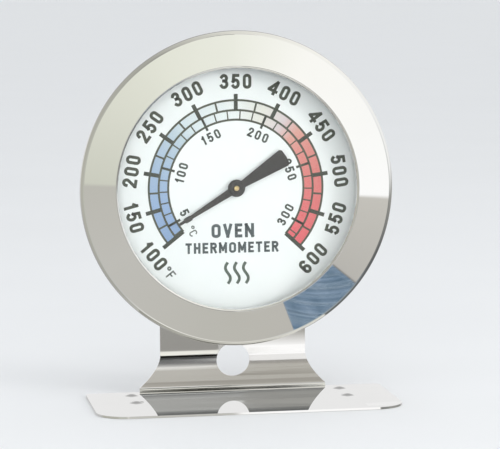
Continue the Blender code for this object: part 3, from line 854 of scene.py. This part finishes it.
def draw_text(work, letters, height, middle, turn=0.0, width=None, pen_share=0.2, gap_share=0.2):
    """Write characters round a middle point; turn is clockwise, and width spreads them out."""
    shapes = letter_shapes()
    pen = pen_share * height
    widths = [shapes[letter][0] * height for letter in letters]
    gap = gap_share * height
    if width:
        gap = (width - sum(widths)) / (len(letters) - 1)
    left = -(sum(widths) + gap * (len(letters) - 1)) / 2
    spin = Matrix.Rotation(-turn, 2)
    for letter, wide in zip(letters, widths):
        for line in shapes[letter][1]:
            points = [spin @ Vector((left + pen / 2 + u * (wide - pen), (v - 0.5) * (height - pen)))
                      + Vector(middle) for u, v in line]
            sweep_bar(work, points, pen, TINT_HEIGHT, INK_HEIGHT, square_ends=True)
        left += wide + gap


def draw_around(work, readings, angle_of, radius, height, inward, **style):
    """Numbers round the dial; the low and the high ones stand with their tops towards its centre."""
    for reading in readings:
        angle = angle_of(reading)
        turn = angle + (math.pi if reading in inward else 0.0)
        draw_text(work, str(reading), height, at_angle(angle, radius), turn, **style)


def draw_fahrenheit(work):
    draw_around(work, FAHRENHEIT_NUMBERS, dial_angle, FAHRENHEIT_RADIUS, FAHRENHEIT_HEIGHT,
                (100, 150, 550, 600), pen_share=0.205, gap_share=0.20)


def draw_celsius(work):
    draw_around(work, CELSIUS_NUMBERS, celsius_angle, CELSIUS_RADIUS, CELSIUS_HEIGHT, (50, 300),
                pen_share=0.20, gap_share=0.26)


def draw_units(work):
    """The unit of each scale beside its first number, turned as that number is."""
    turns = (dial_angle(FAHRENHEIT_RANGE[0]) + math.pi, celsius_angle(CELSIUS_NUMBERS[0]) + math.pi)
    for (letter, height, middle, pen, gap), turn in zip(UNITS, turns):
        draw_text(work, ["degree", letter], height, middle, turn, pen_share=pen, gap_share=gap)


def draw_words(work):
    for word, height, middle, width in WORDS:
        draw_text(work, word, height, middle, width=width, pen_share=WORD_PEN)


def draw_heat_mark(work):
    """Three rising waves, the usual sign for heat."""
    for x in WAVE_PLACES:
        shares = [k / WAVE_STEPS for k in range(WAVE_STEPS + 1)]
        wave = [(x + WAVE_SWING * math.sin(2 * math.pi * share), WAVE_MIDDLE + WAVE_HEIGHT * (share - 0.5))
                for share in shares]
        sweep_bar(work, wave, WAVE_PEN, TINT_HEIGHT, INK_HEIGHT)


def make_print():
    layers = (                # piece, its function, ink's name, colour and fading
        ("scale_lines", draw_lines, "line_ink", (56, 60, 38), 0.10),
        ("scale_marks", draw_marks, "mark_ink", (34, 42, 22), 0.08),
        ("fahrenheit_numbers", draw_fahrenheit, "number_ink", (34, 42, 14), 0.08),
        ("celsius_numbers", draw_celsius, "small_number_ink", (48, 58, 50), 0.08),
        ("unit_marks", draw_units, "unit_ink", (84, 90, 86), 0.10),
        ("dial_words", draw_words, "word_ink", (62, 74, 78), 0.08),
        ("heat_mark", draw_heat_mark, "heat_ink", (66, 82, 70), 0.10),
    )
    printed("scale_band", scale_tint(), draw_band)
    for piece, draw, name, colour, fade in layers:
        printed(piece, ink(name, srgb(*colour), fade), draw)


# ---- pointer ----
def make_blade(material):
    """The blade with its thin tip, round middle and wide tail."""
    wrap = math.asin(POINTER_WAIST / POINTER_DISC)
    sides = [wrap + (math.pi - 2 * wrap) * k / DISC_STEPS for k in range(DISC_STEPS + 1)]
    right = [(POINTER_TIP_HALF, POINTER_TIP)]
    right += [(POINTER_DISC * math.sin(a), POINTER_DISC * math.cos(a)) for a in sides]
    corner = POINTER_TAIL_CORNER
    shoulder = POINTER_TAIL_BULGE - POINTER_TAIL
    right += [(POINTER_TAIL_HALF, shoulder + corner, corner),
              (POINTER_TAIL_HALF - corner, POINTER_TAIL_BULGE / 2 - POINTER_TAIL)]
    left = [(-point[0], *point[1:]) for point in reversed(right)]
    outline = rounded(right + [(0.0, -POINTER_TAIL)] + left)
    work = outline_faces([outline, circle(HUB_TUBE + RUNNING_GAP)], (BLADE_FRONT - BLADE_BACK) / 2)
    middle = Matrix.Translation((0.0, 0.0, (BLADE_FRONT + BLADE_BACK) / 2))
    place = DIAL_MATRIX @ Matrix.Rotation(-POINTER_REST, 4, "Z") @ middle
    blade = make_piece("pointer_blade", work, place, material)
    ease_edges(blade, BLADE_EASE)
    fit(keep_flats_flat(blade), "pointer", "pointer")


def make_hub(material):
    bore = ARBOR_RADIUS + RUNNING_GAP
    under_cap = BLADE_FRONT + RUNNING_GAP
    soft = HUB_EDGE / 3
    profile = rounded([
        (bore, HUB_BACK), (bore, HUB_FRONT - HUB_EDGE / 2, soft), (bore + HUB_EDGE, HUB_FRONT, soft),
        (HUB_RADIUS, HUB_FRONT, HUB_EDGE), (HUB_RADIUS, under_cap), (HUB_TUBE, under_cap),
        (HUB_TUBE, HUB_BACK),
    ])
    turned("hub_cap", profile, material, "pointer", "pointer_hub", steps=PIN_STEPS)


def make_arbor(material):
    profile = rounded([
        (0.0, ARBOR_FRONT), (ARBOR_RADIUS, ARBOR_FRONT - ARBOR_DOME, 2 * ARBOR_DOME),
        (ARBOR_RADIUS, ARBOR_BACK, 0.0001), (0.0, ARBOR_BACK),
    ], closed=False)
    turned("arbor_pin", profile, material, "pointer", "pointer_arbor", steps=PIN_STEPS // 2,
           closed=False)


# ---- stand ----
def make_stand(material):
    """One strip: an upright behind the case, a flared neck with a hole, a crease and the base."""
    crease = math.pi / 2 + NECK_BEND_ANGLE
    base_half = SHEET / 2
    bend_setback = NECK_BEND_RADIUS * math.tan(NECK_BEND_ANGLE / 2)
    crease_setback = CREASE_RADIUS * math.tan(crease / 2)
    straight = STAND_HIGH.z - base_half - NECK_BEND_HEIGHT - bend_setback
    kicked = NECK_BEND_HEIGHT / math.cos(NECK_BEND_ANGLE) - bend_setback - crease_setback
    kick = math.tan(NECK_BEND_ANGLE) * NECK_BEND_HEIGHT
    upright_y = DIAL.y - CASE_BACK + GAP + base_half
    base = upright_y + kick - STAND_LOW.y - crease_setback
    segments = [("line", straight, 0.0), ("bend", NECK_BEND_RADIUS, NECK_BEND_ANGLE),
                ("line", kicked, 0.0), ("bend", CREASE_RADIUS, -crease), ("line", base, 0.0)]
    length = path_stations(segments)[-1]
    ear_back = length - base
    foot_start = ear_back - CREASE_RADIUS * crease
    half_neck = NECK_WIDTH / 2
    half_foot = FOOT_WIDTH / 2
    half_base = (STAND_HIGH.x - STAND_LOW.x) / 2
    right = [(half_neck, 0.0, UPRIGHT_CORNER)]
    for k in range(FLARE_STEPS + 1):
        share = k / FLARE_STEPS
        reach = half_neck + (half_foot - half_neck) * share ** FLARE_POWER
        right.append((reach, foot_start - FLARE_HEIGHT * (1 - share)))
    right += [(half_foot, ear_back), (half_base, ear_back, EAR_CORNER), (half_base, length, BASE_CORNER)]
    left = [(-corner[0], *corner[1:]) for corner in reversed(right)]
    dial_at = STAND_HIGH.z - DIAL.z
    holes = [circle(NECK_HOLE_RADIUS, (0.0, STAND_HIGH.z - NECK_HOLE_HEIGHT), 96),
             circle(RIVET_HOLE, (0.0, dial_at - RIVET_OFFSET)),
             circle(RIVET_HOLE, (0.0, dial_at + RIVET_OFFSET))]

    dots = [(side * DIMPLE_X, ear_back + reach) for side in (1, -1) for reach in DIMPLE_FROM_CREASE]
    offsets = [DIMPLE_RADIUS * (2 * k / DIMPLE_STEPS - 1) for k in range(DIMPLE_STEPS + 1)]
    cuts = [((side * DIMPLE_X + offset, 0, 0), (1, 0, 0)) for side in (1, -1) for offset in offsets]
    cuts += [((0, ear_back + reach + offset, 0), (0, 1, 0))
             for reach in DIMPLE_FROM_CREASE for offset in offsets]

    def dimple(x, along):
        """Height of the pressed dots at a place on the blank."""
        gaps = [min(1.0, math.dist((x, along), dot) / DIMPLE_RADIUS) for dot in dots]
        return DIMPLE_HEIGHT * sum((1 - gap * gap) ** 2 for gap in gaps)

    start = (upright_y, STAND_HIGH.z)
    stand = bent_strip("bent_stand", [rounded(right + left)] + holes, segments, start, -math.pi / 2,
                       material, cuts, dimple)
    fit(stand, "housing", "stand_bracket")


def make_hook(material):
    """Narrow strip riveted behind the upright, curled over to hang on the wire of a rack."""
    foot = DIAL.z - HOOK_LOW.z
    segments = [("line", foot + HOOK_RISE, 0.0), ("bend", HOOK_RADIUS, -math.pi),
                ("line", HOOK_DROP, 0.0), ("bend", 2 * CREASE_RADIUS, HOOK_FLARE),
                ("line", HOOK_TIP, 0.0)]
    length = path_stations(segments)[-1]
    half = (HOOK_HIGH.x - HOOK_LOW.x) / 2
    blank = rounded([(x, along, HOOK_CORNER) for x, along in
                     ((-half, 0.0), (half, 0.0), (half, length), (-half, length))])
    holes = [circle(RIVET_HOLE, (0.0, foot + side * RIVET_OFFSET)) for side in (-1, 1)]
    start = (HOOK_LOW.y + SHEET / 2, HOOK_LOW.z)
    hook = bent_strip("rack_hook", [blank] + holes, segments, start, math.pi / 2, material)
    fit(hook, "housing", "hanging_hook")


# ---- inner pieces that keep their CAD shape ----
def finish_inner_nodes(steel, brass, strip, soft):
    finishes = {
        "glass_cushion": soft, "spacer_ring": steel, "movement_bridge": steel, "front_bush": brass,
        "rear_bush": brass, "coil_anchor_post": brass, "bimetal_coil": strip, "coil_collet": brass,
        "arbor_washer": steel,
    }
    for name, material in finishes.items():
        mesh = frame["nodes"][name].data
        mesh.materials.clear()
        mesh.materials.append(material)


# ---- studio ----
CAMERA_TURN = math.radians(9.0)  # the camera stands this far to the left of the dial's axis
CAMERA_RISE = math.radians(5.2)
CAMERA_DISTANCE = 0.600
CAMERA_LENS = 179.0
CAMERA_ROLL = math.radians(-0.5)
AIM_RIGHT = 0.00336  # the picture's middle, from the dial's centre
AIM_UP = -0.00888
FLOOR_SIZE = 12.0
FLOOR_DROP = 0.00005  # the base stands clear of the floor by this much
LIGHTS = (  # name, turn and rise in degrees, distance, size, power and colour
    ("key", 54.0, 12.0, 0.80, 0.20, 1.6, (1.0, 0.985, 0.97)),
    ("fill", -14.0, 10.0, 0.90, 0.50, 1.7, (1.0, 1.0, 1.0)),
    ("top", 10.0, 62.0, 0.80, 0.50, 0.8, (0.97, 0.985, 1.0)),
)


def make_camera():
    camera = bpy.data.objects.new("camera", bpy.data.cameras.new("camera"))
    bpy.context.scene.collection.objects.link(camera)
    flat = math.cos(CAMERA_RISE)
    ahead = Vector((math.sin(CAMERA_TURN) * flat, math.cos(CAMERA_TURN) * flat, -math.sin(CAMERA_RISE)))
    right = Vector((math.cos(CAMERA_TURN), -math.sin(CAMERA_TURN), 0.0))
    up = right.cross(ahead)
    camera.location = DIAL - CAMERA_DISTANCE * ahead
    aim = DIAL + AIM_RIGHT * right + AIM_UP * up - camera.location
    turn = aim.to_track_quat("-Z", "Y").to_matrix().to_4x4() @ Matrix.Rotation(CAMERA_ROLL, 4, "Z")
    camera.matrix_world = Matrix.Translation(camera.location) @ turn
    camera.data.lens = CAMERA_LENS
    camera.data.clip_start = 0.01
    camera.data.clip_end = 50.0
    bpy.context.scene.camera = camera


def make_floor():
    work = bmesh.new()
    bmesh.ops.create_grid(work, x_segments=24, y_segments=24, size=FLOOR_SIZE)
    place = Matrix.Translation((0.0, 0.0, cad_low.z - FLOOR_DROP))
    floor = make_piece("floor", work, place, pale_floor())
    floor.visible_glossy = False


def make_light(name, turn, rise, distance, size, power, colour):
    """A soft square light that looks at the dial; turn counts from the dial's axis to the right."""
    light = bpy.data.lights.new(name, "AREA")
    light.size = size
    light.energy = power
    light.color = colour
    lamp = bpy.data.objects.new(name, light)
    bpy.context.scene.collection.objects.link(lamp)
    turn, rise = math.radians(turn), math.radians(rise)
    flat = math.cos(rise)
    away = Vector((math.sin(turn) * flat, -math.cos(turn) * flat, math.sin(rise)))
    lamp.location = DIAL + away * distance
    lamp.rotation_mode = "QUATERNION"
    lamp.rotation_quaternion = (-away).to_track_quat("-Z", "Y")
    lamp.visible_glossy = False


RING = (  # what the bezel mirrors: degrees clockwise from the top
    (0.0, (236, 238, 228)), (30.0, (250, 250, 246)), (94.7, (252, 253, 253)), (95.2, (196, 194, 188)),
    (128.4, (184, 182, 177)), (128.8, (0, 0, 0)), (157.0, (0, 0, 0)), (157.3, (186, 184, 178)),
    (180.0, (186, 185, 178)), (240.0, (192, 191, 186)), (271.8, (188, 187, 180)), (272.4, (204, 206, 194)),
    (330.0, (228, 230, 218)), (359.9, (235, 237, 227)),
)
EDGE_SHINE = (  # the thin line just before the bezel's edge turns over
    (0.0, (226, 225, 217)), (30.0, (243, 243, 238)), (60.0, (240, 241, 242)), (90.0, (200, 202, 200)),
    (97.0, (132, 133, 130)), (122.0, (104, 106, 106)), (129.0, (140, 150, 158)), (150.0, (160, 168, 172)),
    (175.0, (236, 236, 230)), (205.0, (240, 240, 234)), (225.0, (192, 193, 190)), (270.0, (186, 187, 178)),
    (300.0, (176, 177, 169)), (330.0, (150, 150, 144)), (359.9, (222, 221, 213)),
)
OUTER = (  # wider round the room, for rolled edges
    (0.0, (214, 214, 206)), (40.0, (246, 246, 240)), (88.0, (236, 238, 238)), (97.0, (150, 150, 146)),
    (115.0, (96, 98, 98)), (145.0, (104, 106, 106)), (158.0, (196, 196, 190)), (205.0, (186, 186, 180)),
    (225.0, (164, 164, 158)), (270.0, (178, 178, 168)), (330.0, (166, 166, 158)), (359.9, (212, 212, 204)),
)
CLOTH = (  # a hanging cloth that the bezel catches at the lower right
    (0.33, (40, 60, 74)), (0.42, (66, 92, 112)), (0.48, (92, 118, 140)), (0.53, (118, 138, 162)),
    (0.58, (150, 172, 196)), (0.65, (184, 202, 216)),
)
CLOTH_SPAN = (128.7, 157.1)  # degrees clockwise from the top
CLOTH_STRANDS = 1.5
CLOTH_SLANT = 16.9
BACK = (  # behind the camera's side, by height from -1 to 1
    (0.0, 0.35), (0.36, 0.42), (0.47, 0.60), (0.505, 0.71), (0.60, 0.76), (0.72, 0.46), (0.88, 0.34),
    (1.0, 0.22),
)
RING_FROM = (13.9, 14.1)  # where each zone takes over, in degrees off the axis
EDGE_SHINE_FROM = (16.2, 16.8)
OUTER_FROM = (42.0, 50.0)
BACK_FROM = (112.0, 128.0)
OVER_BASE_FROM = (16.8, 17.0)  # the middle again, as the base plate throws it up to the neck
OVER_BASE_TO = (33.0, 30.0)
OVER_BASE_SIDES = (0.075, 0.060)
NECK_LEFT = (  # the middle of the room, by degrees above or below the axis
    (-14.0, (20, 20, 18)), (-7.0, (16, 16, 14)), (-6.8, (240, 240, 232)), (-5.6, (232, 232, 226)),
    (-5.0, (150, 149, 145)), (-3.0, (146, 145, 141)), (2.5, (166, 164, 159)), (2.9, (140, 140, 137)),
    (3.05, (100, 102, 102)), (3.2, (120, 121, 120)), (3.6, (236, 238, 236)), (4.3, (110, 112, 112)),
    (6.0, (96, 98, 98)), (17.0, (16, 16, 14)), (19.0, (72, 74, 74)), (22.6, (96, 98, 100)),
    (23.6, (150, 150, 150)), (24.4, (252, 252, 250)), (25.4, (252, 252, 250)), (26.0, (196, 194, 188)),
    (26.3, (184, 182, 175)), (26.6, (160, 157, 150)), (27.0, (188, 186, 180)), (34.0, (196, 194, 188)),
)
NECK_RIGHT = (
    (-14.0, (252, 252, 252)), (-3.53, (252, 252, 252)), (-3.47, (160, 158, 152)), (2.5, (158, 157, 152)),
    (2.9, (140, 140, 137)), (3.05, (124, 125, 122)), (3.2, (150, 151, 148)), (3.6, (168, 168, 164)),
    (4.3, (100, 102, 102)), (6.0, (96, 98, 98)),
    (17.0, (246, 246, 246)), (22.2, (246, 246, 246)), (22.5, (92, 88, 78)), (23.2, (112, 108, 100)),
    (24.0, (178, 175, 169)), (26.3, (190, 188, 181)), (26.6, (162, 159, 152)), (27.0, (190, 188, 182)),
    (34.0, (196, 194, 188)),
)


def by_turn(turn, shades):
    return ramp(turn, [(angle / 360, srgb(*shade)) for angle, shade in shades])


def hanging_cloth(tree, turn, polar, direction):
    """Bluish strands along a slant, with larger patches of light and shade."""
    slant = total(product(turn, 360 * CLOTH_STRANDS),
                  product(polar, math.degrees(CLOTH_SLANT) * CLOTH_STRANDS))
    inputs = {"W": slant, "Scale": 1.0, "Detail": 1.0}
    strands = node(tree, "TexNoise", inputs, noise_dimensions="1D")["Fac"]
    patches = node(tree, "TexNoise", {"Vector": direction, "Scale": 45.0, "Detail": 2.0})["Fac"]
    value = total(product(strands, 0.85), product(patches, 0.15))
    return ramp(value, [(place, srgb(*shade)) for place, shade in CLOTH])


def room_middle(side, above):
    """What lies straight ahead of the dial: a left and a right half, striped by height."""
    lowest, highest = NECK_LEFT[0][0], NECK_LEFT[-1][0]
    level = between(above, lowest, highest)
    halves = [ramp(level, [((degrees - lowest) / (highest - lowest), srgb(*shade))
                           for degrees, shade in half]) for half in (NECK_LEFT, NECK_RIGHT)]
    return mix(between(side, -0.001, 0.001), *halves)


def mirror_room(tree):
    """The studio that polished steel mirrors, by direction round the dial's reflected axis."""
    direction = node(tree, "TexCoord")["Generated"]
    flat = math.cos(CAMERA_RISE)
    axis = Vector((math.sin(CAMERA_TURN) * flat, -math.cos(CAMERA_TURN) * flat, -math.sin(CAMERA_RISE)))
    right = Vector((math.cos(CAMERA_TURN), math.sin(CAMERA_TURN), 0.0))
    side, lift, ahead = (
        node(tree, "VectorMath", {0: direction, 1: way}, operation="DOT_PRODUCT")["Value"]
        for way in (right, axis.cross(right), axis))
    turn = calc("DIVIDE", calc("ARCTAN2", side, lift), 2 * math.pi)
    turn = calc("FRACT", total(1.0, turn))
    polar = calc("ARCTAN2", diagonal(side, lift), ahead)
    above = product(calc("ARCTAN2", lift, ahead), math.degrees(1.0))

    def past(limits):
        return between(polar, *(math.radians(degrees) for degrees in limits))

    cloth_from, cloth_to = CLOTH_SPAN
    on_cloth = product(between(turn, cloth_from / 360, (cloth_from + 0.3) / 360),
                       between(turn, (cloth_to + 0.3) / 360, cloth_to / 360))
    cloth = hanging_cloth(tree, turn, polar, direction)
    ring = mix(on_cloth, by_turn(turn, RING), cloth)
    middle = room_middle(side, above)
    height = node(tree, "SeparateXYZ", {0: direction})[2]
    back = ramp(between(height, -1.0, 1.0), BACK)
    room = mix(past(RING_FROM), middle, ring)
    room = mix(past(EDGE_SHINE_FROM), room, by_turn(turn, EDGE_SHINE))
    room = mix(past(OUTER_FROM), room, by_turn(turn, OUTER))
    over_base = product(between(above, *OVER_BASE_FROM), between(above, *OVER_BASE_TO))
    near_middle = between(calc("ABSOLUTE", side), *OVER_BASE_SIDES)
    room = mix(product(over_base, near_middle), room, middle)
    return mix(past(BACK_FROM), room, back)


def make_room():
    """Soft even light for everything matt, and the mirrored studio for everything glossy."""
    world = bpy.data.worlds.new("studio")
    bpy.context.scene.world = world
    world.use_nodes = True
    tree = world.node_tree
    tree.nodes.clear()
    paths = node(tree, "LightPath")
    even = node(tree, "Background", {"Color": (0.90, 0.93, 0.97, 1.0), "Strength": 1.02})[0]
    mirrored = node(tree, "Background", {"Color": mirror_room(tree), "Strength": 1.20})[0]
    chosen = node(tree, "MixShader", {0: paths["Is Glossy Ray"], 1: even, 2: mirrored})[0]
    node(tree, "OutputWorld", {"Surface": chosen})


def build():
    chrome = metal("polished_steel", STEEL_LIGHT, STEEL_DARK, 0.0, 0.014, (1, 30, 30), 40.0, 0.0000003)
    steel = metal("satin_steel", (0.66, 0.66, 0.65), (0.54, 0.54, 0.53), 0.26, 0.42, (1, 12, 1), 220.0,
                  0.000006)
    brass = metal("brass", (0.86, 0.68, 0.38), (0.70, 0.50, 0.22), 0.20, 0.38, (1, 1, 8), 900.0, 0.000004)
    strip = metal("bimetal", (0.62, 0.58, 0.50), (0.46, 0.40, 0.36), 0.30, 0.48, (1, 1, 14), 400.0,
                  0.000005)
    make_bezel(polished_bezel())
    make_glass(clear_glass())
    make_case(steel)
    make_rivets(steel)
    make_dial_face(enamel())
    make_print()
    black = charcoal()
    make_blade(black)
    make_hub(black)
    make_arbor(brass)
    make_stand(chrome)
    make_hook(chrome)
    finish_inner_nodes(steel, brass, strip, fibre())
    make_floor()
    for light in LIGHTS:
        make_light(*light)
    make_room()
    make_camera()
    bpy.context.scene.view_settings.view_transform = "Standard"


build()
